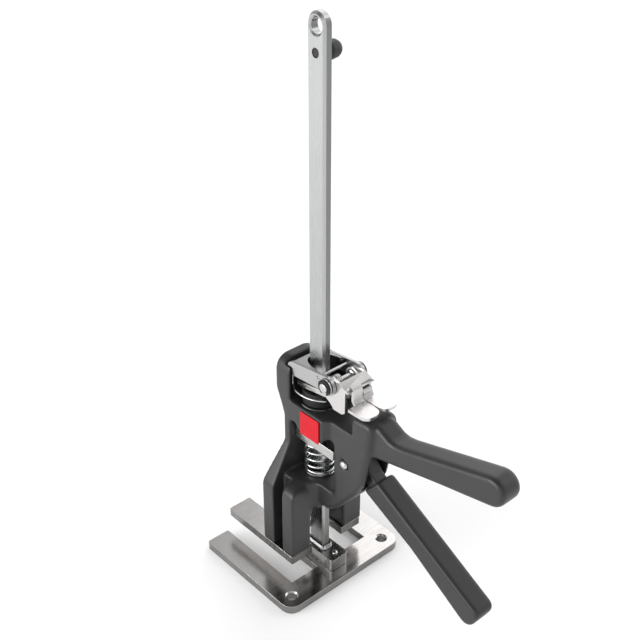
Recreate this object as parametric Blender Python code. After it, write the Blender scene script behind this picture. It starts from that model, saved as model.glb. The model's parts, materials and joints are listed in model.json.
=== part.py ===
"""Hand jack for lifting wallboard: a ratchet carriage that climbs a flat steel bar.

Frame: +X runs from the bar towards the handles, Y is across the tool, +Z is up.
The bar stands on the origin's axis and the base's underside is at z = 0. The carriage is
modelled one short lift above the base. Lengths are in millimetres here and scaled by MM.
"""
from math import atan2, cos, pi, radians, sin, tan

import bmesh
import bpy
from mathutils import Matrix, Vector

MM = 0.001
GAP = 0.3                       # clearance left between neighbouring pieces

# Base
PLATE_T = 5.8                   # thickness of the base and of the lifting fork
BASE_W = 100.0
BASE_BACK = -59.1               # tips of the base's two arms
BASE_FRONT = 27.3
BASE_ARM_W = 17.3
BASE_SLOT_END = 9.0
TONGUE_HALF = 10.6
TONGUE_BACK = -10.6
BLOCK_TOP = 15.2
BLOCK_HALF = 7.3
BLOCK_BACK, BLOCK_FRONT = -9.6, 19.6
BAR_X, BAR_Y = 13.9, 6.44       # the bar's section
BAR_EDGE = 1.45                 # chamfer along its edges
BAR_TOP = 369.3
BAR_EYE_R = 4.4
COLLAR_OUT, COLLAR_H = 1.9, 2.4
BUMPER_Z = 348.0
FOOT_SCREW_X = (-6.0, 14.6)

# Carriage
LIFT = 18.2                     # height of the fork's underside at rest
FORK_TOP = LIFT + PLATE_T
FORK_BACK, FORK_FRONT = -59.0, 6.7
FORK_IN, FORK_OUT = 12.9, 30.3
FORK_BRIDGE_FRONT = -12.9
LEG_FRONT, LEG_IN = 7.3, 14.7
GROOVE_IN = 20.5                # bottom of the groove in each leg's outer side
FLOOR_Z = 78.0                  # seat of the drive spring
WINDOW_TOP = 114.3
CAGE_HALF = 15.6
DECK_Z = 130.0                  # seat of the rubber bush
BUSH_SEAT_R = 12.3
YOKE_TOP = 158.5
HUB_HALF = 11.5
HANDLE_HALF = 8.0
CAVITY_HALF = 7.9               # room for the trigger inside the hub

# Mechanism
DRIVE_Z = 102.6
DRIVE_THICK = 7.0
LOCK_HINGE = (-10.8, 140.8)     # lower back edge of the lock plate, (x, z)
LOCK_THICK = 3.5
LOCK_TILT = radians(8.5)        # how far its nose stands up at rest
PIVOT = (34.0, 106.0)           # trigger hinge, (x, z)
CLEVIS = (20.2, 156.8)          # release levers' hinge, (x, z)
SPRING_R, SPRING_WIRE, SPRING_TURNS = 9.4, 1.5, 5
SHEET = 1.8                     # sheet of the levers
TAB_Z = 150.9                   # top of the thumb tabs

STEEL = ((0.60, 0.60, 0.59), 1.0, 0.28)
STEEL_BRIGHT = ((0.72, 0.72, 0.71), 1.0, 0.18)
STEEL_BLACK = ((0.03, 0.03, 0.032), 0.6, 0.40)
CAST_BLACK = ((0.075, 0.076, 0.076), 0.0, 0.45)
RUBBER = ((0.012, 0.012, 0.012), 0.0, 0.65)
GRIP_BLACK = ((0.05, 0.051, 0.051), 0.0, 0.55)
LABEL_RED = ((0.75, 0.02, 0.04), 0.0, 0.35)


def clear_scene():
    for item in list(bpy.data.objects):
        bpy.data.objects.remove(item, do_unlink=True)


def arc(cx, cy, radius, start, end, steps):
    """Points on a circle from start to end, in degrees, both ends included."""
    turn = radians(end - start) / steps
    first = radians(start)
    return [(cx + radius * cos(first + turn * k), cy + radius * sin(first + turn * k))
            for k in range(steps + 1)]


def fillet(points, radii, steps=4):
    """A closed outline with the corners that have a radius rounded."""
    rounded = []
    count = len(points)
    for k, (point, radius) in enumerate(zip(points, radii)):
        if not radius:
            rounded.append(point)
            continue
        here = Vector(point)
        before = (Vector(points[k - 1]) - here).normalized()
        after = (Vector(points[(k + 1) % count]) - here).normalized()
        half = before.angle(after) / 2
        reach = radius / tan(half)
        centre = here + (before + after).normalized() * (radius / sin(half))
        a = here + before * reach - centre
        b = here + after * reach - centre
        start = atan2(a.y, a.x)
        sweep = (atan2(b.y, b.x) - start + pi) % (2 * pi) - pi
        for step in range(steps + 1):
            angle = start + sweep * step / steps
            rounded.append((centre.x + radius * cos(angle), centre.y + radius * sin(angle)))
    return rounded


def inset(outline, depth):
    """An anticlockwise outline drawn in by the depth."""
    moved = []
    for k, point in enumerate(outline):
        here = Vector(point)
        before = (here - Vector(outline[k - 1])).normalized()
        after = (Vector(outline[(k + 1) % len(outline)]) - here).normalized()
        inward = Vector((-before.y - after.y, before.x + after.x)).normalized()
        share = max(0.5, inward.dot(Vector((-after.y, after.x))))
        moved.append(tuple(here + inward * (depth / share)))
    return moved


def new_mesh(points, faces):
    mesh = bpy.data.meshes.new("mesh")
    mesh.from_pydata([Vector(p) * MM for p in points], [], faces)
    work = bmesh.new()
    work.from_mesh(mesh)
    bmesh.ops.recalc_face_normals(work, faces=work.faces)
    work.to_mesh(mesh)
    work.free()
    return mesh


def as_object(name, mesh):
    piece = bpy.data.objects.new(name, mesh)
    bpy.context.scene.collection.objects.link(piece)
    return piece


def loft(name, sections):
    """A closed solid through rings of 3-D points, each ring with as many points."""
    count = len(sections[0])
    points = [p for ring in sections for p in ring]
    faces = [list(range(count))[::-1], [len(points) - count + k for k in range(count)]]
    for level in range(len(sections) - 1):
        low, high = level * count, (level + 1) * count
        for k in range(count):
            nxt = (k + 1) % count
            faces.append([low + k, low + nxt, high + nxt, high + k])
    return as_object(name, new_mesh(points, faces))


def along_y(name, outline, y0, y1):
    """An (x, z) outline extruded across the tool."""
    return loft(name, [[(x, y, z) for x, z in outline] for y in (y0, y1)])


def soft_along_y(name, outline, half, radius, steps=3):
    """An (x, z) outline extruded to both sides, the edges of its two ends rounded."""
    sections = []
    for side in (-1, 1):
        turns = range(steps + 1) if side < 0 else range(steps, -1, -1)
        for k in turns:
            angle = pi / 2 * k / steps
            y = side * (half - radius * (1 - cos(angle)))
            shape = inset(outline, radius * (1 - sin(angle)))
            sections.append([(x, y, z) for x, z in shape])
    return loft(name, sections)


def along_x(name, outline, x0, x1):
    """A (y, z) outline extruded along the tool."""
    return loft(name, [[(x, y, z) for y, z in outline] for x in (x0, x1)])


def along_z(name, outline, z0, z1):
    """An (x, y) outline extruded upwards."""
    return loft(name, [[(x, y, z) for x, y in outline] for z in (z0, z1)])


def box(name, x0, x1, y0, y1, z0, z1):
    return along_z(name, [(x0, y0), (x1, y0), (x1, y1), (x0, y1)], z0, z1)


def turned(name, profile, centre, axis="Z", steps=24):
    """A solid turned from (radius, height) points about an axis through the centre."""
    rings = []
    for k in range(steps):
        angle = 2 * pi * k / steps
        ring = []
        for radius, height in profile:
            u, v = radius * cos(angle), radius * sin(angle)
            local = (u, v, height) if axis == "Z" else (u, height, v)
            ring.append(tuple(c + d for c, d in zip(centre, local)))
        rings.append(ring)
    size = len(profile)
    points = [p for ring in rings for p in ring]
    faces = []
    for k in range(steps):
        here, there = k * size, ((k + 1) % steps) * size
        for j in range(size):
            nxt = (j + 1) % size
            if profile[j][0] or profile[nxt][0]:
                faces.append([here + j, here + nxt, there + nxt, there + j])
    piece = as_object(name, new_mesh(points, faces))
    work = bmesh.new()
    work.from_mesh(piece.data)
    bmesh.ops.remove_doubles(work, verts=work.verts, dist=1e-6)
    bmesh.ops.dissolve_degenerate(work, edges=work.edges, dist=1e-6)
    bmesh.ops.recalc_face_normals(work, faces=work.faces)
    work.to_mesh(piece.data)
    work.free()
    return piece


def ring(name, inner, outer, low, high, centre, axis="Z", steps=24):
    profile = [(inner, low), (outer, low), (outer, high), (inner, high)]
    return turned(name, profile, centre, axis, steps)


def rod(name, radius, low, high, centre, axis="Z", steps=20, edge=0.0):
    """A round rod; edge chamfers both ends."""
    profile = [(0, low), (radius - edge, low), (radius, low + edge),
               (radius, high - edge), (radius - edge, high), (0, high)]
    if not edge:
        profile = [(0, low), (radius, low), (radius, high), (0, high)]
    return turned(name, profile, centre, axis, steps)


def combine(piece, others, operation):
    """Unite the piece with the others, or cut them out of it."""
    for other in others:
        step = piece.modifiers.new("combine", "BOOLEAN")
        step.operation = operation
        step.solver = "EXACT"
        step.object = other
        graph = bpy.context.evaluated_depsgraph_get()
        graph.update()
        mesh = bpy.data.meshes.new_from_object(piece.evaluated_get(graph))
        piece.modifiers.clear()
        piece.data = mesh
        bpy.data.objects.remove(other, do_unlink=True)
    return piece


def unite(piece, *others):
    return combine(piece, others, "UNION")


def cut(piece, *others):
    return combine(piece, others, "DIFFERENCE")


def keep_common(piece, *others):
    return combine(piece, others, "INTERSECT")


def wire(name, path, radius, sides=6):
    """A round wire along a list of 3-D points."""
    rings = []
    side = None
    for k, point in enumerate(path):
        ahead = Vector(path[min(k + 1, len(path) - 1)])
        behind = Vector(path[max(k - 1, 0)])
        along = (ahead - behind).normalized()
        if side is None:
            side = along.orthogonal().normalized()
        side = (side - along * side.dot(along)).normalized()
        other = along.cross(side)
        rings.append([tuple(Vector(point) + side * radius * cos(2 * pi * j / sides)
                            + other * radius * sin(2 * pi * j / sides))
                      for j in range(sides)])
    return loft(name, rings)


def material(name, look):
    colour, metallic, roughness = look
    made = bpy.data.materials.new(name)
    made.use_nodes = True
    shader = made.node_tree.nodes["Principled BSDF"]
    shader.inputs["Base Color"].default_value = (*colour, 1.0)
    shader.inputs["Metallic"].default_value = metallic
    shader.inputs["Roughness"].default_value = roughness
    made.diffuse_color = (*colour, 1.0)
    return made


def finish(piece, look, pivot=None):
    """Give the piece its material, smooth round faces, and its origin on a joint's axis."""
    work = bmesh.new()
    work.from_mesh(piece.data)
    bmesh.ops.remove_doubles(work, verts=work.verts, dist=2e-6)
    bmesh.ops.dissolve_degenerate(work, edges=work.edges, dist=2e-6)
    bmesh.ops.recalc_face_normals(work, faces=work.faces)
    work.to_mesh(piece.data)
    work.free()
    piece.data.materials.clear()
    piece.data.materials.append(material(piece.name + "_finish", look))
    piece.data.shade_smooth()
    piece.data.set_sharp_from_angle(angle=radians(32))
    if pivot:
        place = Vector(pivot) * MM
        piece.data.transform(Matrix.Translation(-place))
        piece.location = place
    return piece


def bar_section(x_half, y_half, edge):
    return [(-x_half + edge, -y_half), (x_half - edge, -y_half), (x_half, -y_half + edge),
            (x_half, y_half - edge), (x_half - edge, y_half), (-x_half + edge, y_half),
            (-x_half, y_half - edge), (-x_half, -y_half + edge)]


def bar_hole(low, high, slack=0.45):
    return box("bar_hole", -BAR_X / 2 - slack, BAR_X / 2 + slack,
               -BAR_Y / 2 - slack, BAR_Y / 2 + slack, low, high)


# ---------------------------------------------------------------- base

def base_plate():
    half = BASE_W / 2
    slot = half - BASE_ARM_W
    outline = fillet(
        [(BASE_BACK, -half), (BASE_FRONT, -half), (BASE_FRONT, half), (BASE_BACK, half),
         (BASE_BACK, slot), (BASE_SLOT_END, slot), (BASE_SLOT_END, TONGUE_HALF),
         (TONGUE_BACK, TONGUE_HALF), (TONGUE_BACK, -TONGUE_HALF),
         (BASE_SLOT_END, -TONGUE_HALF), (BASE_SLOT_END, -slot), (BASE_BACK, -slot)],
        [1.5, 8, 8, 1.5, 1.5, 0, 0, 1, 1, 0, 0, 1.5])
    plate = along_z("base_plate", outline, 0, PLATE_T)
    for side in (-1, 1):
        bore = [(3.2, -1), (3.2, PLATE_T - 1), (4.4, PLATE_T + 0.2), (4.4, PLATE_T + 2),
                (0, PLATE_T + 2), (0, -1)]
        cut(plate, turned("hole", bore, (17.7, side * 40.4, 0)))
    for x in FOOT_SCREW_X:
        cut(plate, screw_shape("hole", x, 0, 0, GAP))
    return finish(plate, STEEL)


def screw_shape(name, x, y, head_z, grow=0.0, length=10.4):
    """A countersunk screw driven upwards, its head flush with head_z."""
    head, shank = 3.4 + grow, 2.0 + grow
    low = head_z - (1 if grow else 0)
    profile = [(0, low), (head, low), (head, head_z + 0.3), (shank, head_z + 2.2),
               (shank, head_z + length + grow), (0, head_z + length + grow)]
    return turned(name, profile, (x, y, 0), steps=16)


def foot_block():
    low = PLATE_T + GAP
    outline = fillet([(BLOCK_BACK, -BLOCK_HALF), (BLOCK_FRONT, -BLOCK_HALF),
                      (BLOCK_FRONT, BLOCK_HALF), (BLOCK_BACK, BLOCK_HALF)], [2, 2.5, 2.5, 2])
    block = along_z("foot_block", outline, low, BLOCK_TOP)
    cut(block, bar_hole(low + 5.2, BLOCK_TOP + 1, GAP))
    for x in FOOT_SCREW_X:
        cut(block, screw_shape("hole", x, 0, 0, GAP))
    return finish(block, STEEL)


def foot_screw(index, x):
    return finish(screw_shape(f"foot_screw_{index}", x, 0, 0.3, length=10.0), STEEL_BRIGHT)


def block_pin():
    """A small domed pin set in the block's top."""
    dome = [(0, BLOCK_TOP + GAP), (1.9, BLOCK_TOP + GAP), (1.7, BLOCK_TOP + 0.9),
            (1.0, BLOCK_TOP + 1.5), (0, BLOCK_TOP + 1.7)]
    return finish(turned("block_pin", dome, (14.6, 0, 0), steps=16), STEEL_BRIGHT)


def bar():
    low = PLATE_T + GAP + 5.5
    half = BAR_X / 2
    sections = []
    for y, inset in ((-BAR_Y / 2, BAR_EDGE), (-BAR_Y / 2 + BAR_EDGE, 0),
                     (BAR_Y / 2 - BAR_EDGE, 0), (BAR_Y / 2, BAR_EDGE)):
        crown = arc(0, BAR_TOP - half, half - inset, 0, 180, 20)
        outline = [(-half + inset, low), (half - inset, low)] + crown
        sections.append([(x, y, z) for x, z in outline])
    shaft = loft("bar", sections)
    eye_z = BAR_TOP - half - 0.6
    face = BAR_Y / 2
    eye = [(0, -face - 0.7), (BAR_EYE_R + 1.7, -face - 0.7), (BAR_EYE_R, -face + 1.0),
           (BAR_EYE_R, face - 1.0), (BAR_EYE_R + 1.7, face + 0.7), (0, face + 0.7)]
    cut(shaft, turned("eye", eye, (0.13, 0, eye_z + 0.07), "Y"))
    cut(shaft, rod("peg_hole", 2.4 + GAP, -BAR_Y, BAR_Y, (0, 0, BUMPER_Z), "Y"))
    return finish(shaft, STEEL)


def bar_collar():
    """The tapered collar that seats the bar on its block."""
    low = BLOCK_TOP + GAP
    outer = []
    for out, z in ((COLLAR_OUT, low), (COLLAR_OUT * 0.75, low + 0.5), (0.8, low + COLLAR_H)):
        outer.append([(x, y, z) for x, y in
                      bar_section(BAR_X / 2 + out, BAR_Y / 2 + out, BAR_EDGE + out * 0.6)])
    collar = loft("bar_collar", outer)
    cut(collar, bar_hole(low - 1, low + COLLAR_H + 1, GAP))
    return finish(collar, STEEL)


def end_bumper():
    """Rubber stop: a peg through the bar with a round head on the +Y side."""
    face = BAR_Y / 2 + GAP
    head = [(0, -BAR_Y / 2 + 0.1), (2.4, -BAR_Y / 2 + 0.1), (2.4, face), (5.2, face),
            (5.6, face + 3.2), (5.3, face + 6.2), (4.2, face + 8.6), (2.4, face + 10.0),
            (0, face + 10.5)]
    return finish(turned("end_bumper", head, (0, 0, BUMPER_Z), "Y"), RUBBER)


# ---------------------------------------------------------------- carriage

def lift_plate():
    outline = fillet(
        [(FORK_BACK, -FORK_OUT), (FORK_FRONT, -FORK_OUT), (FORK_FRONT, -FORK_IN),
         (FORK_BRIDGE_FRONT, -FORK_IN), (FORK_BRIDGE_FRONT, FORK_IN), (FORK_FRONT, FORK_IN),
         (FORK_FRONT, FORK_OUT), (FORK_BACK, FORK_OUT), (FORK_BACK, FORK_IN),
         (FORK_BRIDGE_FRONT - 11, FORK_IN), (FORK_BRIDGE_FRONT - 11, -FORK_IN),
         (FORK_BACK, -FORK_IN)],
        [1, 1, 0, 1.5, 1.5, 0, 1, 1, 1, 2, 2, 1])
    plate = along_z("lift_plate", outline, LIFT, FORK_TOP)
    for x, y in lift_screw_places():
        cut(plate, screw_shape("hole", x, y, LIFT, GAP))
    return finish(plate, STEEL)


def lift_screw_places():
    return [(x, side * 22.0) for side in (-1, 1) for x in (-15.5, 1.5)]


def lift_screw(index, x, y):
    return finish(screw_shape(f"lift_screw_{index}", x, y, LIFT + 0.3, length=12), STEEL_BRIGHT)


def casting():
    """The carriage body: legs, spring cage, yoke, hub and fixed handle in one casting."""
    low = FORK_TOP + GAP
    # back wall, wide over the legs, narrow at the neck and stepping out at the yoke
    side_view = [(-21.6, low), (-21.6, 74), (-16.6, 99), (-16.6, 119), (-24, 136),
                 (-24, YOKE_TOP), (-10.9, YOKE_TOP), (-10.9, low)]
    half = CAGE_HALF - 0.1
    back_view = fillet([(-FORK_OUT, low), (-FORK_OUT, 71), (-half, 100),
                        (-half, YOKE_TOP + 0.2), (half, YOKE_TOP + 0.2), (half, 100),
                        (FORK_OUT, 71), (FORK_OUT, low)], [0, 5, 5, 9, 9, 5, 5, 0])
    body = along_y("casting", side_view, -FORK_OUT - 1, FORK_OUT + 1)
    keep_common(body, along_x("outline", back_view, -30, 0))
    for side in (-1, 1):
        unite(body, leg(side, low))
        groove = sorted((side * GROOVE_IN, 2 * side * FORK_OUT))
        cut(body, box("groove", -11.4, -3.2, *groove, low - 1, 86))
    core = CAGE_HALF - 0.25
    unite(body, box("core", -12.3, LEG_FRONT - 0.05, -core, core, 60, FLOOR_Z))
    # upper band between window and deck, narrowing to the hub
    band = [(-14, -CAGE_HALF), (18.5, -CAGE_HALF), (22.5, -HUB_HALF), (30, -HUB_HALF),
            (30, HUB_HALF), (22.5, HUB_HALF), (18.5, CAGE_HALF), (-14, CAGE_HALF)]
    unite(body, along_z("band", band, WINDOW_TOP, DECK_Z + 1.6))
    hub = fillet([(2, 60.3), (19, 60.3), (26, 65.6), (44.3, 87.9), (50.2, 98.4), (54.8, 121),
                  (57.2, 145.3), (41, 144.2), (19, 131.2), (2, 122)],
                 [0, 5, 8, 20, 6, 0, 5, 6, 4, 0])
    unite(body, soft_along_y("hub", hub, HUB_HALF, 3.6))
    # the legs' fronts sweep out into the hub's sides
    for side in (-1, 1):
        sweep = arc(LEG_FRONT + 5, -HUB_HALF - 5, 5, 90, 180, 5)
        sweep = [(5, -7), (LEG_FRONT + 5, -7)] + sweep + [(5, -HUB_HALF - 5)]
        unite(body, along_z("sweep", [(x, -side * y) for x, y in sweep], 57, FLOOR_Z - 0.1))
    handle = ([(48, 119.2), (104, 131.4)] + arc(140.3, 148.0, 9.2, -79, 105, 10)
              + [(98.6, 146.1), (76, 139.9), (70.5, 139.0), (66, 139.6), (61.5, 142.0),
                 (57.5, 144.2), (48, 143.6)])
    unite(body, soft_along_y("handle", handle, HANDLE_HALF, 2.8))
    # yoke: right-hand wall, and the corner column that closes the left side
    wall = fillet([(-20, WINDOW_TOP + 2.3), (12, WINDOW_TOP + 2.3), (14.6, 134),
                   (14.6, YOKE_TOP - 0.1), (-20, YOKE_TOP - 0.1)], [0, 2, 2, 2, 0])
    unite(body, along_y("wall", wall, 13.0, CAGE_HALF - 0.05))
    cut(body, box("yoke_room", -16.7, 40, -13.4, 13.4, DECK_Z + 1.6, YOKE_TOP + 5),
        box("yoke_mouth", -11.15, 40, -30, -12.0, DECK_Z + 3.2, YOKE_TOP + 5))
    cut(body, *hollows(low))
    return finish(body, CAST_BLACK)


def leg(side, low):
    """One leg, its outer shoulder and its top front edge rounded."""
    inner, outer, root = side * LEG_IN, side * (FORK_OUT - 0.05), side * (CAGE_HALF - 3)
    front = fillet([(inner, low + 0.02), (outer, low + 0.02), (outer, 75), (root, 79),
                    (root, 46)], [0, 0, 6.5, 0, 0])
    made = along_x("leg", front, -12.3, LEG_FRONT)
    radius = 5
    corner = ([(LEG_FRONT + 1, FLOOR_Z + 2), (LEG_FRONT + 1, FLOOR_Z - radius)]
              + arc(LEG_FRONT - radius, FLOOR_Z - radius, radius, 0, 90, 5)
              + [(LEG_FRONT - radius, FLOOR_Z + 2)])
    return cut(made, along_y("corner", corner, *sorted((side * 8, side * 40))))


def hollows(low):
    """Everything cut out of the casting."""
    window = ([(-11.3, FLOOR_Z), (24.5, FLOOR_Z)] + arc(21.0, WINDOW_TOP, 3.5, 0, 180, 6)
              + arc(-7.8, WINDOW_TOP, 3.5, 0, 180, 6))
    cavity = [(24, 94), (44.5, 91), (60, 84), (72, 110), (56, 122), (40, 123), (24, 118)]
    arch = ([(-14.6, 10), (14.6, 10), (14.6, 46.5)] + arc(0, 46.5, 14.6, 0, 180, 12)[1:-1]
            + [(-14.6, 46.5)])
    pieces = [along_y("window", window, -40, 40),
              along_y("cavity", cavity, -CAVITY_HALF, CAVITY_HALF),
              along_x("arch", arch, -11.3, 40),
              bar_hole(50, 140),
              rod("bush_seat", BUSH_SEAT_R + GAP, DECK_Z, 140, (0, 0, 0), steps=32),
              rod("pivot_bore", 3.0 + GAP, -30, 30, (PIVOT[0], 0, PIVOT[1]), "Y")]
    # the wall between the legs is open under the carriage, clear of the base's tongue
    pieces.append(box("heel", -30, -11, -LEG_IN, LEG_IN, low - 5, 46))
    for x, y in lift_screw_places():
        pieces.append(rod("tapped", 2.0 + GAP, low - 1, LIFT + 13, (x, y, 0), steps=16))
    return pieces


def badge():
    """A plain square label on the cage's left side."""
    face = -CAGE_HALF - GAP
    outline = fillet([(-0.2, 113.6), (16.6, 113.6), (16.6, 130.2), (-0.2, 130.2)], [0.6] * 4, 2)
    return finish(along_y("badge", outline, face - 0.5, face), LABEL_RED)


def drive_spring():
    steps = 18
    seat = FLOOR_Z + GAP + 1.2 + GAP
    low = seat + SPRING_WIRE / 2
    high = DRIVE_Z - GAP - SPRING_WIRE / 2
    path = []
    for k in range(SPRING_TURNS * steps + 1):
        share = k / (SPRING_TURNS * steps)
        angle = 2 * pi * k / steps
        path.append((SPRING_R * cos(angle), SPRING_R * sin(angle), low + (high - low) * share))
    return finish(wire("drive_spring", path, SPRING_WIRE / 2), STEEL_BRIGHT, (0, 0, DRIVE_Z))


def spring_seat():
    low = FLOOR_Z + GAP
    return finish(ring("spring_seat", 8.2, 10.5, low, low + 1.2, (0, 0, 0), steps=28), STEEL)


def drive_plate():
    high = DRIVE_Z + DRIVE_THICK
    outline = fillet([(-11, -11), (23.8, -11), (23.8, 11), (-11, 11)], [0.8] * 4, 2)
    plate = along_z("drive_plate", outline, DRIVE_Z, high)
    cut(plate, bar_hole(DRIVE_Z - 1, high + 1, 0.6))
    return finish(plate, STEEL, (0, 0, DRIVE_Z))


def lock_plate():
    """A thin plate standing askew on the bar, hinged at its back edge."""
    back, low = LOCK_HINGE
    front, half = 15.6, 9.4
    outline = fillet([(back, -half), (front, -half), (front, half), (back, half)], [0.8] * 4, 2)
    plate = along_z("lock_plate", outline, low, low + LOCK_THICK)
    # the slot is longer than the bar's section, so that it clears the bar when tilted
    hole_half = BAR_X / 2 + 0.95
    middle = back + (LOCK_THICK / 2 * sin(LOCK_TILT) - back) / cos(LOCK_TILT)
    cut(plate, box("slot", middle - hole_half, middle + hole_half, -BAR_Y / 2 - 0.6,
                   BAR_Y / 2 + 0.6, low - 1, low + LOCK_THICK + 1))
    hinge = Vector((back, 0, low)) * MM
    plate.data.transform(Matrix.Translation(hinge) @ Matrix.Rotation(-LOCK_TILT, 4, "Y")
                         @ Matrix.Translation(-hinge))
    return finish(plate, STEEL, (back, 0, low))


def bush_washer():
    washer = ring("bush_washer", 8.2, BUSH_SEAT_R, DECK_Z + GAP, DECK_Z + 1.3, (0, 0, 0), steps=32)
    return finish(washer, STEEL_BRIGHT)


def rubber_bush():
    low = DECK_Z + 1.6
    high = LOCK_HINGE[1] - GAP
    profile = [(8.2, low), (10.4, low), (10.8, low + 0.6), (10.8, high - 0.6), (10.4, high),
               (8.2, high)]
    return finish(turned("rubber_bush", profile, (0, 0, 0), steps=28), RUBBER)


# ---------------------------------------------------------------- lock and levers

def around_y(radius, steps=10, start=0, end=360, centre=CLEVIS):
    return arc(centre[0], centre[1], radius, start, end, steps)


def lock_bracket():
    """An upturned channel that carries the clevis pin in front of the bar."""
    flange = (arc(-10.3, 154.5, 4.6, 95, 265, 8) + [(14.0, 151.6)]
              + around_y(6.2, 10, -110, 95))
    bracket = along_y("lock_bracket", flange, -13, -11)
    unite(bracket, along_y("flange", flange, 11, 13))
    slope = 0.105
    back, front, under = -10.8, 8, 157.2
    rise = (front - back) * slope
    web_view = [(back, under), (front, under + rise), (front, under + 2 + rise),
                (back, under + 2)]
    web = along_y("web", web_view, -11.5, 11.5)
    opening = [(8.5 + 16.7 * cos(a), 9.6 * sin(a)) for a in
               [radians(90 + 180 * k / 14) for k in range(15)]] + [(20, -9.6), (20, 9.6)]
    cut(web, along_z("opening", opening, 150, 170))
    unite(bracket, web)
    cut(bracket, rod("bore", 3.0 + GAP, -20, 20, (CLEVIS[0], 0, CLEVIS[1]), "Y", 16),
        rod("rod_bore", 0.9 + GAP, -20, 20, (12.7, 0, 159.4), "Y", 10))
    return finish(bracket, STEEL)


def lever(name, half, flange, web, web_x, tongue_y, drop_x, tab):
    """A sheet lever: two flanges on the clevis pin, a web, a bent tongue and a thumb tab."""
    piece = along_y(name, flange, -half, -half + SHEET)
    unite(piece, along_y("flange", flange, half - SHEET, half))
    unite(piece, along_y("web", web, -half, half))
    y0, y1 = tongue_y
    top = web[-1][1]
    back = drop_x - SHEET
    neck = [(web_x - 3, top - SHEET), (drop_x - 1.6, top - SHEET - 0.6), (back, top - 3.4),
            (back, TAB_Z + 1.4), (drop_x + 0.8, TAB_Z - SHEET), (drop_x + 3.6, TAB_Z - SHEET),
            (drop_x + 3.6, TAB_Z), (drop_x + 1.2, TAB_Z), (drop_x, TAB_Z + 1.6),
            (drop_x, top - 3.2), (drop_x - 1.2, top - 0.8), (web_x - 3, top)]
    unite(piece, along_y("tongue", neck, y0, y1))
    x0, x1, t0, t1 = tab
    pad = fillet([(x0, t0), (x1, t0), (x1, t1), (x0, t1)], [0, 5, 5, 0])
    unite(piece, along_z("pad", pad, TAB_Z - SHEET, TAB_Z))
    cut(piece, rod("bore", 3.0 + GAP, -20, 20, (CLEVIS[0], 0, CLEVIS[1]), "Y", 16))
    return finish(piece, STEEL_BRIGHT, (CLEVIS[0], 0, CLEVIS[1]))


def release_lever():
    flange = (around_y(4.6, 6, 100, 200) + [(17.0, 150.5), (16.9, 146.6), (21.3, 144.0),
                                           (23.8, 141.2), (31, 141.4), (33.4, 143.2),
                                           (33.6, 157), (34.5, 159.3), (27, 161.6)])
    web = [(27.4, 159.8), (35.4, 157.5), (36.4, 158.6), (27.8, 161.6)]
    return lever("release_lever", 10.7, flange, web, 37.2, (-8.0, -0.7), 37.9,
                 (39.5, 54.6, -13.9, -0.6))


def lowering_lever():
    flange = (around_y(4.4, 8, 90, 270) + [(30.5, 150.5), (34.0, 153.2), (34.0, 156.4)])
    web = [(26.5, 155.0), (33.4, 154.2), (34.0, 155.8), (26.5, 156.8)]
    return lever("lowering_lever", 8.6, flange, web, 35.4, (0.7, 8.0), 37.6,
                 (39.5, 54.8, 0.6, 13.8))


def clevis_pin():
    grooves = [(0, -16.35), (2.7, -16.35), (3.0, -16.0), (3.0, -15.5), (2.2, -15.5), (2.2, -14.5),
               (3.0, -14.5), (3.0, -6.2), (1.5, -5.6), (1.5, 5.6), (3.0, 6.2), (3.0, 14.5),
               (2.2, 14.5), (2.2, 15.5), (3.0, 15.5), (3.0, 16.0), (2.7, 16.35), (0, 16.35)]
    return finish(turned("clevis_pin", grooves, (CLEVIS[0], 0, CLEVIS[1]), "Y"), STEEL_BRIGHT)


def e_clip(name, centre, y0, inner, outer):
    """A retaining clip with its mouth open downwards."""
    clip = ring(name, inner, outer, y0, y0 + 0.8, centre, "Y", 24)
    cx, cz = centre[0], centre[2]
    cut(clip, box("mouth", cx - inner * 0.8, cx + inner * 0.8, -30, 30, cz - outer - 1, cz))
    return finish(clip, STEEL_BLACK)


def torsion_spring():
    """Return spring of the levers, wound on the clevis pin."""
    steps, turns, radius, wire_r = 14, 2.5, 3.9, 0.42
    cx, cz = CLEVIS
    path = [(cx + radius, -5.7, cz - 9.0), (cx + radius, -5.7, cz - 4.0)]
    last = int(steps * turns)
    for k in range(last + 1):
        angle = 2 * pi * k / steps
        path.append((cx + radius * cos(angle), -5.7 + 1.1 * k / steps, cz + radius * sin(angle)))
    path.append((cx - radius, path[-1][1], cz - 3.5))
    path.append((cx - radius, path[-1][1], cz - 7.4))
    return wire("torsion_spring", path, wire_r, 6)


def spring_bail():
    """A bowed wire that stands up at the back and passes round the bush's front."""
    level = LOCK_HINGE[1] - 0.9
    bow = [(x, y, level) for x, y in arc(-1.7, 7.0, 20.9, -127, -44, 14)]
    back, side, _ = bow[0]
    rise = [(back, side, level + 6.5), (back, side, level + 1.6), (back + 0.2, side - 0.1, level + 0.5)]
    return wire("spring_bail", rise + bow[1:], 0.6, 6)


# ---------------------------------------------------------------- trigger

def trigger_lever():
    nose = arc(21.0, 112.4, 2.2, 100, 300, 8)
    outline = nose + [(25.5, 109.9), (28.5, 103.2), (31, 99.6), (36, 98.0), (44, 97.2), (53, 93.0),
                      (60, 90.2), (118, 58.6), (121, 62.8), (60, 97.5), (51, 103.6), (45, 111.4),
                      (38, 115.6), (28, 117)]
    blade = along_y("trigger_lever", outline, -4.8, 4.8)
    unite(blade, rod("boss", 6.6, -7.4, 7.4, (PIVOT[0], 0, PIVOT[1]), "Y", 24))
    cut(blade, rod("bore", 3.0 + GAP, -20, 20, (PIVOT[0], 0, PIVOT[1]), "Y", 20))
    return finish(blade, CAST_BLACK, (PIVOT[0], 0, PIVOT[1]))


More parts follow.
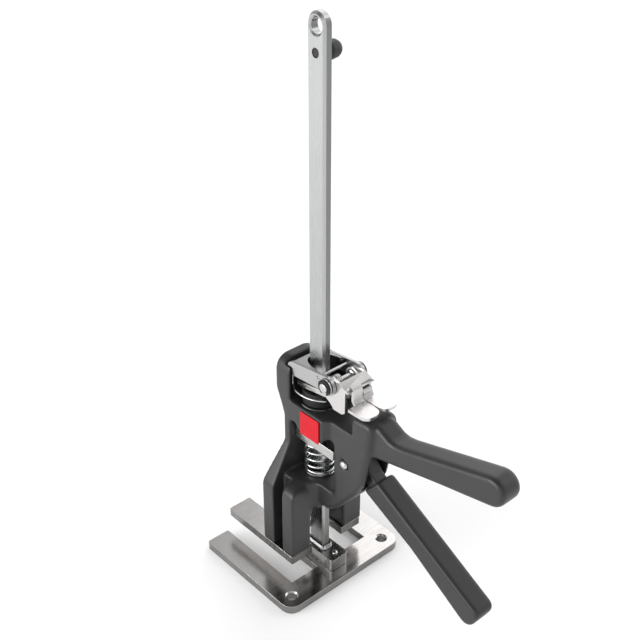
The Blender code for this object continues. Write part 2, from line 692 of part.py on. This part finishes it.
def trigger_grip():
    outline = fillet([(47.0, 92.0), (87.5, 72.2), (126.5, 47.6), (134.1, 43.3), (142.0, 58.1),
                      (57.7, 104.2)], [1.5, 0, 0, 6, 5, 2])
    sleeve = soft_along_y("trigger_grip", outline, 7.5, 2.2)
    room = [(40, 98.8), (53, 92.65), (60, 89.9), (118.2, 58.2), (121.4, 62.9), (60, 97.9),
            (50, 104.6)]
    cut(sleeve, along_y("room", room, -4.8 - GAP, 4.8 + GAP))
    return finish(sleeve, GRIP_BLACK, (PIVOT[0], 0, PIVOT[1]))


def pivot_pin():
    profile = [(0, -13.0), (1.5, -12.9), (2.4, -12.4), (2.7, -11.6), (3.0, -11.0), (3.0, 12.2),
               (2.2, 12.2), (2.2, 13.2), (3.0, 13.2), (3.0, 14.1), (2.7, 14.4), (0, 14.4)]
    return finish(turned("pivot_pin", profile, (PIVOT[0], 0, PIVOT[1]), "Y"), STEEL_BRIGHT)


def build():
    clear_scene()
    base_plate()
    foot_block()
    for index, x in enumerate(FOOT_SCREW_X, 1):
        foot_screw(index, x)
    block_pin()
    bar()
    bar_collar()
    end_bumper()
    lift_plate()
    for index, (x, y) in enumerate(lift_screw_places(), 1):
        lift_screw(index, x, y)
    casting()
    badge()
    spring_seat()
    drive_spring()
    drive_plate()
    lock_plate()
    bush_washer()
    rubber_bush()
    lock_bracket()
    finish(rod("spring_rod", 0.9, -12.9, 12.9, (12.7, 0, 159.4), "Y", 10), STEEL_BRIGHT)
    clevis_pin()
    for name, y in (("e_clip_left", -15.4), ("e_clip_right", 14.6)):
        e_clip(name, (CLEVIS[0], 0, CLEVIS[1]), y, 2.2 + GAP, 5.0)
    for name, y in (("clip_washer_left", -14.3), ("clip_washer_right", 13.3)):
        finish(ring(name, 3.0 + GAP, 5.3, y, y + 1.0, (CLEVIS[0], 0, CLEVIS[1]), "Y", 20),
               STEEL_BRIGHT)
    finish(torsion_spring(), STEEL_BRIGHT)
    finish(spring_bail(), STEEL_BRIGHT)
    release_lever()
    lowering_lever()
    trigger_lever()
    trigger_grip()
    pivot_pin()
    e_clip("pivot_clip", (PIVOT[0], 0, PIVOT[1]), 12.3, 2.2 + GAP, 4.6)


build()
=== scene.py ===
"""Looks of the hand jack: detailed pieces, materials, floor, light and camera."""

import json
from math import cos, hypot, pi, radians, sin

import bmesh
import bpy
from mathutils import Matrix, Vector

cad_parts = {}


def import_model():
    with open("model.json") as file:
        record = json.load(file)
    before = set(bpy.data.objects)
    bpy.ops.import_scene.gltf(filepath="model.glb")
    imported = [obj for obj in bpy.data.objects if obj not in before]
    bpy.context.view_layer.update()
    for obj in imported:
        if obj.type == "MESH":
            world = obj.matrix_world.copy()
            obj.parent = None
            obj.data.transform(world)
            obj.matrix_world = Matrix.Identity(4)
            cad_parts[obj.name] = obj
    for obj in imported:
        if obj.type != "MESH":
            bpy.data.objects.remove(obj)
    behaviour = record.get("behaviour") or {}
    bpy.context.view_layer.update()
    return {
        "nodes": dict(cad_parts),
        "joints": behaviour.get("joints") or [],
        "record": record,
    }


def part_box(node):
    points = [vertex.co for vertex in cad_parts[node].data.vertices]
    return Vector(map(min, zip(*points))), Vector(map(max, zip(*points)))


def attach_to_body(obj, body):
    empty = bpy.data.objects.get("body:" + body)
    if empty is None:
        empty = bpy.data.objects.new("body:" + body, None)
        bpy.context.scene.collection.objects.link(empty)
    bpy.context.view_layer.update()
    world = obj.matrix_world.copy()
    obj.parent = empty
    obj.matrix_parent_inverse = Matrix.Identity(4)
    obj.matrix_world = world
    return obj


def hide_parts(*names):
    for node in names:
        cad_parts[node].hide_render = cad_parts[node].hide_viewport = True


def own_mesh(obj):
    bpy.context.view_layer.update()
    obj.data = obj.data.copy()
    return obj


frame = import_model()

MM = 0.001                      # the pieces below are sized in millimetres
NODES = frame["nodes"]
BODY_OF = {node: body for body, nodes in frame["record"]["behaviour"]["bodies"].items()
           for node in nodes}
HINGES = {joint["name"]: joint["pos_m"] for joint in frame["joints"] if "pos_m" in joint}


def hinge(joint):
    """(x, z) of a hinge that runs along Y."""
    x, _, z = HINGES[joint]
    return round(x / MM, 3), round(z / MM, 3)


def span(node, axis):
    """A CAD node's lowest and highest place along an axis."""
    k = "XYZ".index(axis)
    return tuple(round(corner[k] / MM, 3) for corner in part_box(node))


def middle(node):
    """(x, y) of a CAD node's middle."""
    return tuple(sum(span(node, axis)) / 2 for axis in "XY")


CLEVIS = hinge("release_press")         # both levers' hinge
PIVOT = hinge("trigger_squeeze")
BAR_BORE = 8.2                          # inner radius of the rings round the bar


# ---------------------------------------------------------------- materials

class Shader:
    """A Principled material with a few helpers for its node tree."""

    def __init__(self, name, colour, metallic, roughness):
        self.material = bpy.data.materials.new(name)
        self.material.use_nodes = True
        self.tree = self.material.node_tree
        self.main = self.tree.nodes["Principled BSDF"]
        self.main.inputs["Base Color"].default_value = (*colour, 1)
        self.main.inputs["Metallic"].default_value = metallic
        self.main.inputs["Roughness"].default_value = roughness
        self.main.inputs["Specular IOR Level"].default_value = 0.5
        coords = self.tree.nodes.new("ShaderNodeTexCoord")
        self.coords = coords.outputs["Object"]

    def noise(self, scale, detail=4, stretch=(1, 1, 1), rough=0.55):
        mapping = self.tree.nodes.new("ShaderNodeMapping")
        mapping.inputs["Scale"].default_value = stretch
        self.tree.links.new(self.coords, mapping.inputs["Vector"])
        node = self.tree.nodes.new("ShaderNodeTexNoise")
        node.inputs["Scale"].default_value = scale
        node.inputs["Detail"].default_value = detail
        node.inputs["Roughness"].default_value = rough
        self.tree.links.new(mapping.outputs["Vector"], node.inputs["Vector"])
        return node.outputs["Fac"]

    def spread(self, value, low, high, start=0.3, end=0.7):
        node = self.tree.nodes.new("ShaderNodeMapRange")
        for key, number in zip(("From Min", "From Max", "To Min", "To Max"),
                               (start, end, low, high)):
            node.inputs[key].default_value = number
        self.tree.links.new(value, node.inputs["Value"])
        return node.outputs["Result"]

    def blend(self, value, dark, light, start=0.3, end=0.7):
        ramp = self.tree.nodes.new("ShaderNodeValToRGB")
        ramp.color_ramp.elements[0].position = start
        ramp.color_ramp.elements[0].color = (*dark, 1)
        ramp.color_ramp.elements[1].position = end
        ramp.color_ramp.elements[1].color = (*light, 1)
        self.tree.links.new(value, ramp.inputs["Fac"])
        return ramp.outputs["Color"]

    def use(self, key, output):
        self.tree.links.new(output, self.main.inputs[key])

    def bump(self, *layers):
        """Each layer is (height output, strength, distance in metres)."""
        previous = None
        for height, strength, distance in layers:
            node = self.tree.nodes.new("ShaderNodeBump")
            node.inputs["Strength"].default_value = strength
            node.inputs["Distance"].default_value = distance
            self.tree.links.new(height, node.inputs["Height"])
            if previous:
                self.tree.links.new(previous, node.inputs["Normal"])
            previous = node.outputs["Normal"]
        self.use("Normal", previous)


def tint(colour, factor):
    return tuple(min(1, c * factor) for c in colour)


def steel(name, colour, roughness, stretch=(1, 1, 1), grain=0.25, spots=0.06, play=0.3):
    """Ground, drawn or bright steel.

    The grain runs along the axis where stretch is small. spots is how far the colour varies,
    and play how far the roughness does.
    """
    made = Shader(name, colour, 1.0, roughness)
    lines = made.noise(900, 3, stretch, 0.6)
    cloud = made.noise(60, 5, (1, 1, 1))
    made.use("Base Color", made.blend(cloud, tint(colour, 1 - spots), tint(colour, 1 + spots)))
    made.use("Roughness", made.spread(lines, roughness * (1 - play), roughness * (1 + play)))
    made.bump((lines, grain, 0.00003), (cloud, 0.13 * play, 0.0002))
    return made.material


def moulded(name, colour, roughness, grain=0.12):
    """Satin black surface with a fine cast or spark-eroded grain."""
    made = Shader(name, colour, 0.0, roughness)
    fine = made.noise(2600, 3)
    cloud = made.noise(45, 4)
    made.use("Base Color", made.blend(cloud, tint(colour, 0.9), tint(colour, 1.12)))
    made.use("Roughness", made.spread(cloud, roughness * 0.9, roughness * 1.12))
    made.bump((fine, grain, 0.00004), (cloud, 0.05, 0.0004))
    return made.material


PLATE = steel("ground_plate", (0.56, 0.545, 0.535), roughness=0.19,
              stretch=(1, 0.06, 0.4), grain=0.16)
# Dull sheared finish and painted shade: the plates' upright faces and the foot block's
# X-facing faces take this darker steel, standing in for the shade on sides turned from the
# light.
SHEARED_AND_PAINTED_SHADE = steel("sheared_edge_and_painted_shade", (0.24, 0.235, 0.23), roughness=0.32,
                stretch=(1, 1, 0.08), grain=0.35, spots=0.12)
BLOCK = steel("ground_block", (0.52, 0.52, 0.51), roughness=0.26,
              grain=0.015, spots=0.03, play=0.1)
BAR = steel("drawn_bar", (0.43, 0.44, 0.436), roughness=0.26,
            stretch=(1, 1, 0.03), grain=0.05, spots=0.02, play=0.15)
# Painted shade: the bar's X-facing faces take this darker steel in place of the shade on the
# side turned from the light.
BAR_PAINTED_SHADE = steel("drawn_bar_painted_shade", (0.23, 0.232, 0.23), roughness=0.28,
                 stretch=(1, 1, 0.03), grain=0.06, spots=0.02, play=0.15)
SHEET = steel("zinc_sheet", (0.43, 0.435, 0.43), roughness=0.26,
              stretch=(0.1, 1, 1), grain=0.01, spots=0.02, play=0.06)
SHEET_BRIGHT = steel("polished_sheet", (0.64, 0.625, 0.62), roughness=0.26,
                     stretch=(0.1, 1, 1), grain=0.01, spots=0.02, play=0.06)
TURNED = steel("turned_steel", (0.56, 0.56, 0.555), roughness=0.2,
               stretch=(1, 0.1, 1), grain=0.05, spots=0.04, play=0.15)
WIRE = steel("spring_wire", (0.60, 0.61, 0.615), roughness=0.2, grain=0.04)
BLACK_STEEL = steel("black_oxide", (0.03, 0.03, 0.032), roughness=0.35, grain=0.1)
CASTING = moulded("satin_black_casting", (0.0185, 0.0187, 0.0187), roughness=0.38)
GRIP = moulded("black_grip", (0.016, 0.0163, 0.0163), roughness=0.44, grain=0.16)
RUBBER = moulded("black_rubber", (0.008, 0.008, 0.008), roughness=0.55, grain=0.1)
BADGE = moulded("red_badge", (0.47, 0.004, 0.012), roughness=0.5, grain=0.03)
BADGE.node_tree.nodes["Principled BSDF"].inputs["Specular IOR Level"].default_value = 0.2


# ---------------------------------------------------------------- mesh helpers

def link(name, mesh, material, smooth_angle=35):
    mesh.materials.clear()
    mesh.materials.append(material)
    mesh.shade_smooth()
    mesh.set_sharp_from_angle(angle=radians(smooth_angle))
    piece = bpy.data.objects.new(name, mesh)
    bpy.context.scene.collection.objects.link(piece)
    return piece


def attach(piece, node, *more):
    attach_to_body(piece, BODY_OF[node])
    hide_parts(node, *more)
    return piece


def clean_copy(node):
    """The CAD node's mesh as a new mesh with its flat faces whole again."""
    work = bmesh.new()
    work.from_mesh(NODES[node].data)
    bmesh.ops.remove_doubles(work, verts=work.verts, dist=5e-6)
    bmesh.ops.dissolve_limit(work, angle_limit=radians(0.6), verts=work.verts,
                             edges=work.edges)
    bmesh.ops.recalc_face_normals(work, faces=work.faces)
    mesh = bpy.data.meshes.new(node + "_fine")
    work.to_mesh(mesh)
    work.free()
    return mesh


def baked(piece):
    """Apply the piece's modifiers."""
    graph = bpy.context.evaluated_depsgraph_get()
    graph.update()
    mesh = bpy.data.meshes.new_from_object(piece.evaluated_get(graph))
    piece.modifiers.clear()
    piece.data = mesh
    return piece


def edged(node, material, width, segments=2, angle=30):
    """The CAD shape with its edges broken."""
    piece = link(node + "_finished", clean_copy(node), material)
    bevel = piece.modifiers.new("edge", "BEVEL")
    bevel.width = width * MM
    bevel.segments = segments
    bevel.limit_method = "ANGLE"
    bevel.angle_limit = radians(angle)
    bevel.use_clamp_overlap = True
    bevel.harden_normals = True
    baked(piece)
    return attach(piece, node)


def cast(node, material, voxel, passes, soft=None):
    """The CAD shape with every edge flowing round, as a casting or moulding has.

    soft is (share at a point, passes): a region whose edges flow round further.
    """
    piece = link(node + "_finished", clean_copy(node), material)
    remesh = piece.modifiers.new("skin", "REMESH")
    remesh.mode = "VOXEL"
    remesh.voxel_size = voxel * MM
    remesh.use_smooth_shade = True
    soften = piece.modifiers.new("soften", "SMOOTH")
    soften.factor = 0.5
    soften.iterations = passes
    baked(piece)
    if soft:
        share, more = soft
        region = piece.vertex_groups.new(name="soft")
        for vertex in piece.data.vertices:
            weight = share(vertex.co / MM)
            if weight > 0:
                region.add([vertex.index], weight, "REPLACE")
        flow = piece.modifiers.new("flow", "SMOOTH")
        flow.vertex_group = "soft"
        flow.factor = 0.5
        flow.iterations = more
        baked(piece)
    piece.data.materials.clear()
    piece.data.materials.append(material)
    piece.data.shade_smooth()
    return attach(piece, node)


def bent(node, material, radius, folds, width=0.22):
    """The CAD sheet with its folds rounded; folds tells a fold by its two ends in mm."""
    mesh = clean_copy(node)
    work = bmesh.new()
    work.from_mesh(mesh)
    chosen = [edge for edge in work.edges
              if edge.is_manifold and edge.calc_face_angle(0) > radians(25)
              and folds(*(corner.co / MM for corner in edge.verts))]
    bmesh.ops.bevel(work, geom=chosen, offset=radius * MM, offset_type="OFFSET", segments=5,
                    profile=0.5, affect="EDGES", clamp_overlap=True)
    bmesh.ops.recalc_face_normals(work, faces=work.faces)
    work.to_mesh(mesh)
    work.free()
    piece = link(node + "_finished", mesh, material, 40)
    bevel = piece.modifiers.new("edge", "BEVEL")
    bevel.width = width * MM
    bevel.segments = 2
    bevel.limit_method = "ANGLE"
    bevel.angle_limit = radians(40)
    bevel.harden_normals = True
    return attach(baked(piece), node)


def two_finishes(piece, material, test):
    """Faces that pass the test take the second material."""
    piece.data.materials.append(material)
    for face in piece.data.polygons:
        if test(face.normal, face.center / MM):
            face.material_index = 1
    return piece


def ringed(name, rings, closed, material, smooth_angle=35):
    """A solid through rings of points in mm; closed joins the last ring to the first."""
    size, count = len(rings[0]), len(rings)
    points = [Vector(point) * MM for ring in rings for point in ring]
    faces = []
    for k in range(count if closed else count - 1):
        here, there = k * size, (k + 1) % count * size
        for j in range(size):
            nxt = (j + 1) % size
            faces.append((here + j, here + nxt, there + nxt, there + j))
    if not closed:
        faces += [tuple(range(size))[::-1], tuple((count - 1) * size + j for j in range(size))]
    mesh = bpy.data.meshes.new(name)
    mesh.from_pydata(points, [], faces)
    work = bmesh.new()
    work.from_mesh(mesh)
    bmesh.ops.remove_doubles(work, verts=work.verts, dist=2e-6)
    bmesh.ops.dissolve_degenerate(work, edges=work.edges, dist=2e-6)
    bmesh.ops.recalc_face_normals(work, faces=work.faces)
    work.to_mesh(mesh)
    work.free()
    return link(name, mesh, material, smooth_angle)


def turned(node, profile, centre, material, axis="Z", steps=56):
    """A turned piece from (radius, height) points; a zero radius lies on the axis."""
    rings = []
    for k in range(steps):
        angle = 2 * pi * k / steps
        ring = []
        for radius, height in profile:
            u, v = radius * cos(angle), radius * sin(angle)
            local = (u, v, height) if axis == "Z" else (u, height, v)
            ring.append(Vector(centre) + Vector(local))
        rings.append(ring)
    return attach(ringed(node + "_finished", rings, True, material), node)


def wire(name, path, radius, material, sides=12):
    """A round wire along a path in mm, its ends rounded off."""
    rings, side = [], None
    last = len(path) - 1
    for k, point in enumerate(path):
        along = (Vector(path[min(k + 1, last)]) - Vector(path[max(k - 1, 0)])).normalized()
        side = along.orthogonal() if side is None else side - along * side.dot(along)
        side = side.normalized()
        other = along.cross(side)
        girths = [(0.0, radius)]
        if k == 0:
            girths = [(-0.6 * radius, 0.45 * radius), (-0.35 * radius, 0.8 * radius)] + girths
        if k == last:
            girths += [(0.35 * radius, 0.8 * radius), (0.6 * radius, 0.45 * radius)]
        for shift, girth in girths:
            rings.append([Vector(point) + along * shift
                          + side * girth * cos(2 * pi * j / sides)
                          + other * girth * sin(2 * pi * j / sides) for j in range(sides)])
    return ringed(name, rings, False, material, 50)


def arc(cx, cy, radius, start, end, steps):
    """Points on a circle from start to end, in degrees, both ends included."""
    angles = [radians(start + (end - start) * k / steps) for k in range(steps + 1)]
    return [(cx + radius * cos(angle), cy + radius * sin(angle)) for angle in angles]


# ---------------------------------------------------------------- pieces

# Painted shade: the X-facing faces, which take a darker steel to read as shaded.
def painted_shade_end_faces(normal, _):
    return abs(normal.x) > 0.8


def painted_shade_upright_faces(normal, centre):
    """Upright faces, which take the darker steel: painted shade over a dull sheared finish.
    The drilled walls of the foot's corner holes are left out and keep the bright plate steel,
    a painted light that makes the holes read lighter.
    """
    hole_x, hole_y, reach = 17.7, 40.4, 7.0
    # Painted light: the hole walls keep the bright plate steel so the holes read lighter than
    # their shade.
    in_hole = hypot(centre.x - hole_x, abs(centre.y) - hole_y) < reach
    return abs(normal.z) < 0.3 and not in_hole


def base_pieces():
    # Painted shade: the plates' upright faces and the X-facing faces of the foot block and the
    # bar take a darker steel. On the plates it is also their sheared finish, and the foot
    # holes' walls stay bright as painted light.
    for node in ("base_plate", "lift_plate"):
        two_finishes(edged(node, PLATE, 0.35), SHEARED_AND_PAINTED_SHADE, painted_shade_upright_faces)
    two_finishes(edged("foot_block", BLOCK, 0.6, 3), SHEARED_AND_PAINTED_SHADE, painted_shade_end_faces)
    two_finishes(edged("bar", BAR, 0.15, 2, 20), BAR_PAINTED_SHADE, painted_shade_end_faces)
    edged("bar_collar", BAR, 0.2)
    domed_pin()
    for node in sorted(NODES):
        if node.startswith(("foot_screw", "lift_screw")):
            countersunk(node)
    bumper()


def domed_pin():
    foot = span("block_pin", "Z")[0]
    dome = [(0, 0), (1.9, 0), (1.9, 0.4), (1.75, 0.7), (1.3, 1.05), (0.7, 1.25), (0, 1.3)]
    turned("block_pin", [(radius, foot + up) for radius, up in dome],
           (*middle("block_pin"), 0), TURNED)


def countersunk(node):
    """A countersunk screw with a round socket in its head and a threaded shank."""
    head, tip = span(node, "Z")
    crest, root, pitch = 1.98, 1.62, 0.7
    profile = [(0, head + 2.0), (1.25, head + 2.0), (1.4, head + 0.15), (1.55, head),
               (3.2, head), (3.4, head + 0.25), (2.05, head + 2.2)]
    z = head + 2.6
    while z < tip - pitch:
        profile += [(crest, z), (root, z + pitch / 2)]
        z += pitch
    profile += [(1.5, tip - 0.2), (0, tip)]
    turned(node, profile, (*middle(node), 0), TURNED, steps=24)


def bumper():
    """The rubber stop: a stem through the bar, then a head that narrows to a crown."""
    stem = [(0, -3.1), (2.1, -3.1), (2.4, -2.8), (2.4, 3.55), (4.9, 3.55), (5.2, 3.9)]
    head = [(5.6 - 0.6 * k / 4, 5.0 + 1.3 * k) for k in range(5)]
    crown = [(4.4, 11.4), (3.6, 12.5), (2.6, 13.3), (1.4, 13.7), (0, 13.8)]
    height = sum(span("end_bumper", "Z")) / 2
    turned("end_bumper", stem + head + crown, (0, 0, height), RUBBER, "Y")


def shoulder(point):
    """How much the casting's edges flow round: most at the legs' tops and the yoke's back."""
    x, _, z = point
    yoke_back, leg_back = -17, -10.5
    if x < yoke_back:
        return max(0.0, min(1.0, (z - 112) / 20, (yoke_back - x) / 3))
    if x < leg_back:
        return 0.0
    return max(0.0, min(1.0, (z - 50) / 8, (86 - z) / 5, (30 - x) / 6))


def carriage_pieces():
    cast("casting", CASTING, voxel=0.72, passes=11, soft=(shoulder, 16))
    edged("badge", BADGE, 0.12)
    edged("drive_plate", BLOCK, 0.35)
    flat_ring("spring_seat")
    flat_ring("bush_washer")
    bush()
    drive_spring()
    bail()
    pivot()


def flat_ring(node):
    """A flat ring round the bar, its edges broken."""
    low, high = span(node, "Z")
    outer = span(node, "X")[1]
    turned(node, [(BAR_BORE, low + 0.1), (BAR_BORE + 0.2, low), (outer - 0.2, low),
                  (outer, low + 0.2), (outer, high - 0.2), (outer - 0.2, high),
                  (BAR_BORE + 0.2, high), (BAR_BORE, high - 0.2)], (0, 0, 0), TURNED)


def bush():
    """The rubber bush, with three shallow grooves round it."""
    low, high = span("rubber_bush", "Z")
    outer = span("rubber_bush", "X")[1]
    groove_floor, first_groove, spacing = outer - 0.35, low + 2.0, 2.2
    profile = [(BAR_BORE, low), (outer - 0.5, low), (outer, low + 0.5)]
    for k in range(3):
        z = first_groove + k * spacing
        profile += [(outer, z), (groove_floor, z + 0.35), (groove_floor, z + 0.65),
                    (outer, z + 1.0)]
    profile += [(outer, high - 0.5), (outer - 0.4, high), (BAR_BORE, high)]
    turned("rubber_bush", profile, (0, 0, 0), RUBBER)


def groove(clip, radius):
    """The turned groove that a clip sits in, as (radius, y) points."""
    low, high = span(clip, "Y")
    floor_radius, slope, slack = 2.2, 0.1, 0.1
    return [(radius, low - slack - slope), (floor_radius, low - slack),
            (floor_radius, high + slack), (radius, high + slack + slope)]


def pivot():
    """The trigger's pin: a domed head at its near end, a clip in a groove at the far one."""
    near, far = span("pivot_pin", "Y")
    radius = 3.0
    head = [(0, near), (1.3, near + 0.05), (2.2, near + 0.4), (2.65, near + 1.0),
            (2.9, near + 1.5), (radius, near + 2.0)]
    tail = [(radius, far - 0.4), (radius - 0.4, far), (0, far)]
    turned("pivot_pin", head + groove("pivot_clip", radius) + tail,
           (PIVOT[0], 0, PIVOT[1]), TURNED, "Y")
    edged("pivot_clip", BLACK_STEEL, 0.12)


def drive_spring():
    """A pressure spring with a closed coil at each end."""
    radius, girth, gap = 9.4, 0.74, 0.3
    seat = span("spring_seat", "Z")[1] + gap
    top = span("drive_plate", "Z")[0] - gap
    low, high = seat + 0.75, top - 0.75
    steps, turns, flat = 40, 6.0, 1.0
    path = []
    for k in range(int(steps * turns) + 1):
        turn = k / steps
        share = min(1, max(0, (turn - flat) / (turns - 2 * flat)))
        rise = (turn - turns * share) * 0.12 + share * (high - low)
        height = min(high, max(low, low + rise + 0.1 * min(turn, flat)))
        angle = 2 * pi * turn
        path.append((radius * cos(angle), radius * sin(angle), height))
    piece = attach(wire("drive_spring_finished", path, girth, WIRE), "drive_spring")
    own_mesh(piece)


def bail():
    """The bowed wire: up at the back, then round the bush's front."""
    level, girth = 139.9, 0.6
    bow = [(x, y, level) for x, y in arc(-1.7, 7.0, 20.9, -127, -44, 36)]
    x, y, _ = bow[0]
    rise = [(x, y, level + 6.5 - k) for k in range(5)]
    corner = [(x + 0.05, y - 0.02, level + 1.1), (x + 0.25, y - 0.15, level + 0.4)]
    attach(wire("spring_bail_finished", rise + corner + bow[1:], girth, WIRE), "spring_bail")


def bracket_fold(a, b):
    """The long folds between the bracket's top and its two flanges."""
    return (min(a.z, b.z) > 157.5 and min(abs(a.y), abs(b.y)) > 12.8
            and abs(a.x - b.x) > 8)


def release_fold(a, b):
    """The folds at the top of the release lever's flanges and along its front."""
    return (min(a.z, b.z) > 156.5 and min(abs(a.y), abs(b.y)) > 10.6 and abs(a.y - b.y) < 1
            and (abs(a.x - b.x) > 3 or min(a.x, b.x) > 35))


def lowering_fold(a, b):
    """The folds at the top of the lowering lever's flanges."""
    return (min(a.z, b.z) > 154 and min(abs(a.y), abs(b.y)) > 8.4
            and abs(a.x - b.x) > 3)


def lock_pieces():
    edged("lock_plate", BLOCK, 0.3)
    bent("lock_bracket", SHEET, radius=1.7, folds=bracket_fold)
    spring_rod()
    clevis_pin()
    for side in ("left", "right"):
        clip_washer("clip_washer_" + side)
        edged("e_clip_" + side, BLACK_STEEL, 0.15)
    torsion_spring()
    bent("release_lever", SHEET_BRIGHT, radius=1.6, folds=release_fold)
    bent("lowering_lever", SHEET_BRIGHT, radius=1.2, folds=lowering_fold)


def spring_rod():
    left, right = span("spring_rod", "Y")
    turned("spring_rod", [(0, left), (0.7, left), (0.9, left + 0.2), (0.9, right - 0.2),
                          (0.7, right), (0, right)],
           (middle("spring_rod")[0], 0, sum(span("spring_rod", "Z")) / 2), TURNED, "Y", 24)


def clevis_pin():
    """The levers' pin: a slim neck for the spring, and a clip groove near each end."""
    clip_low, clip_high = span("e_clip_right", "Y")
    end = span("clevis_pin", "Y")[1]
    half = [(3.0, 6.3), (3.0, clip_low - 0.2), (2.85, clip_low - 0.1), (2.2, clip_low - 0.1),
            (2.2, clip_high + 0.1), (2.85, clip_high + 0.1), (3.0, clip_high + 0.2),
            (3.0, end - 0.45), (2.8, end - 0.15), (2.5, end), (0, end)]
    neck = [(2.6, -6.0), (1.5, -5.6), (1.5, 5.6), (2.6, 6.0)]
    profile = [(radius, -y) for radius, y in reversed(half)] + neck + half
    turned("clevis_pin", profile, (CLEVIS[0], 0, CLEVIS[1]), TURNED, "Y")


def clip_washer(node):
    low, high = span(node, "Y")
    bore, outer = 3.3, 5.3
    turned(node, [(bore, low), (outer - 0.2, low), (outer, low + 0.2), (outer, high - 0.2),
                  (outer - 0.2, high), (bore, high)], (CLEVIS[0], 0, CLEVIS[1]), TURNED, "Y")


def torsion_spring():
    """Return spring of the levers, wound on the clevis pin's neck."""
    steps, turns, radius, pitch, girth = 32, 2.5, 3.9, 1.1, 0.42
    cx, cz = CLEVIS
    start = -5.7
    front_leg = [(cx + radius, start, cz - drop) for drop in (9.0, 4.0, 1.0)]
    coil = []
    for k in range(int(steps * turns) + 1):
        angle = 2 * pi * k / steps
        coil.append((cx + radius * cos(angle), start + pitch * k / steps,
                     cz + radius * sin(angle)))
    back_leg = [(cx - radius, coil[-1][1], cz - drop) for drop in (1.0, 3.5, 7.4)]
    attach(wire("torsion_spring_finished", front_leg + coil + back_leg, girth, WIRE, 10),
           "torsion_spring")


def trigger_pieces():
    cast("trigger_lever", CASTING, voxel=0.5, passes=6)
    cast("trigger_grip", GRIP, voxel=0.5, passes=9)


base_pieces()
carriage_pieces()
lock_pieces()
trigger_pieces()


# ---------------------------------------------------------------- floor, light, camera

def floor():
    mesh = bpy.data.meshes.new("floor")
    half, under = 6.0, 0.0002           # metres; just under the foot, so no faces coincide
    mesh.from_pydata([(-half, -half, 0), (half, -half, 0), (half, half, 0), (-half, half, 0)],
                     [], [(0, 1, 2, 3)])
    plane = bpy.data.objects.new("floor", mesh)
    bpy.context.scene.collection.objects.link(plane)
    plane.location.z = -under
    made = Shader("pale_floor", (0.93, 0.93, 0.93), 0.0, 0.7)
    made.main.inputs["Specular IOR Level"].default_value = 0.1
    mesh.materials.append(made.material)


def area(name, place, target, size, power, mirrored=True):
    """A soft light; lengths are in metres, and one that isn't mirrored shows in no metal."""
    lamp = bpy.data.lights.new(name, "AREA")
    lamp.shape = "RECTANGLE"
    lamp.size, lamp.size_y = size
    lamp.energy = power
    holder = bpy.data.objects.new(name, lamp)
    bpy.context.scene.collection.objects.link(holder)
    holder.location = place
    aim = Vector(target) - Vector(place)
    holder.rotation_mode = "QUATERNION"
    holder.rotation_quaternion = aim.to_track_quat("-Z", "Y")
    holder.visible_glossy = mirrored


def world():
    """Studio surroundings: a bright box behind, a softer front and a dim ceiling."""
    made = bpy.data.worlds.new("studio")
    bpy.context.scene.world = made
    made.use_nodes = True
    tree = made.node_tree
    ray = tree.nodes.new("ShaderNodeTexCoord").outputs["Generated"]

    def ramp(value, start, end, before, after):
        """A smooth step from one strength to another as the value goes from start to end."""
        node = tree.nodes.new("ShaderNodeMapRange")
        node.interpolation_type = "SMOOTHSTEP"
        for key, number in zip(("From Min", "From Max", "To Min", "To Max"),
                               (start, end, before, after)):
            node.inputs[key].default_value = number
        tree.links.new(value, node.inputs["Value"])
        return node.outputs["Result"]

    def facing(azimuth, start, end, before, after):
        """A ramp on how squarely a ray's level direction faces the azimuth, +X being 0."""
        dot = tree.nodes.new("ShaderNodeVectorMath")
        dot.operation = "DOT_PRODUCT"
        dot.inputs[1].default_value = (cos(radians(azimuth)), sin(radians(azimuth)), 0)
        tree.links.new(level.outputs["Vector"], dot.inputs[0])
        return ramp(dot.outputs["Value"], start, end, before, after)

    def joined(operation, first, second):
        node = tree.nodes.new("ShaderNodeMath")
        node.operation = operation
        tree.links.new(first, node.inputs[0])
        tree.links.new(second, node.inputs[1])
        return node.outputs["Value"]

    flat = tree.nodes.new("ShaderNodeVectorMath")
    flat.operation = "MULTIPLY"
    flat.inputs[1].default_value = (1, 1, 0)
    tree.links.new(ray, flat.inputs[0])
    level = tree.nodes.new("ShaderNodeVectorMath")
    level.operation = "NORMALIZE"
    tree.links.new(flat.outputs["Vector"], level.inputs[0])
    split = tree.nodes.new("ShaderNodeSeparateXYZ")
    tree.links.new(ray, split.inputs["Vector"])
    height = split.outputs["Z"]

    # A ray's height is 0 at the horizon and 1 overhead. The box is what the foot mirrors.
    walls = ramp(height, 0.68, 0.82, before=0.62, after=0.2)
    box = joined("MULTIPLY", facing(49, -0.04, 0.04, before=0, after=1.3),
                 facing(135, -0.1, 0.15, before=0, after=1))
    box = joined("MULTIPLY", box, ramp(height, 0.785, 0.815, before=1, after=0))
    front = joined("MULTIPLY", facing(-90, 0.3, 0.9, before=0, after=0.6),
                   ramp(height, 0.5, 0.75, before=1, after=0))
    total = joined("ADD", joined("ADD", walls, box), front)
    back = tree.nodes["Background"]
    back.inputs["Color"].default_value = (1, 1, 1, 1)
    tree.links.new(total, back.inputs["Strength"])


def camera(place, ahead, focal_length):
    lens = bpy.data.cameras.new("camera")
    lens.sensor_width = 36
    lens.lens = focal_length
    lens.clip_start = 0.01
    holder = bpy.data.objects.new("camera", lens)
    bpy.context.scene.collection.objects.link(holder)
    holder.location = place
    holder.rotation_mode = "QUATERNION"
    holder.rotation_quaternion = Vector(ahead).to_track_quat("-Z", "Y")
    bpy.context.scene.camera = holder


floor()
world()
area("key", (-0.4, -1.45, 0.5), (0.02, 0, 0.12), (1.2, 0.7), 15)
area("overhead", (-0.3, 0.3, 2.4), (-0.3, 0.3, 0.0), (9, 9), 115, mirrored=False)
camera(place=(0.40295, -0.36311, 0.50896), ahead=(-0.63937, 0.57614, -0.50919),
       focal_length=60.14)
bpy.context.scene.view_settings.view_transform = "Standard"
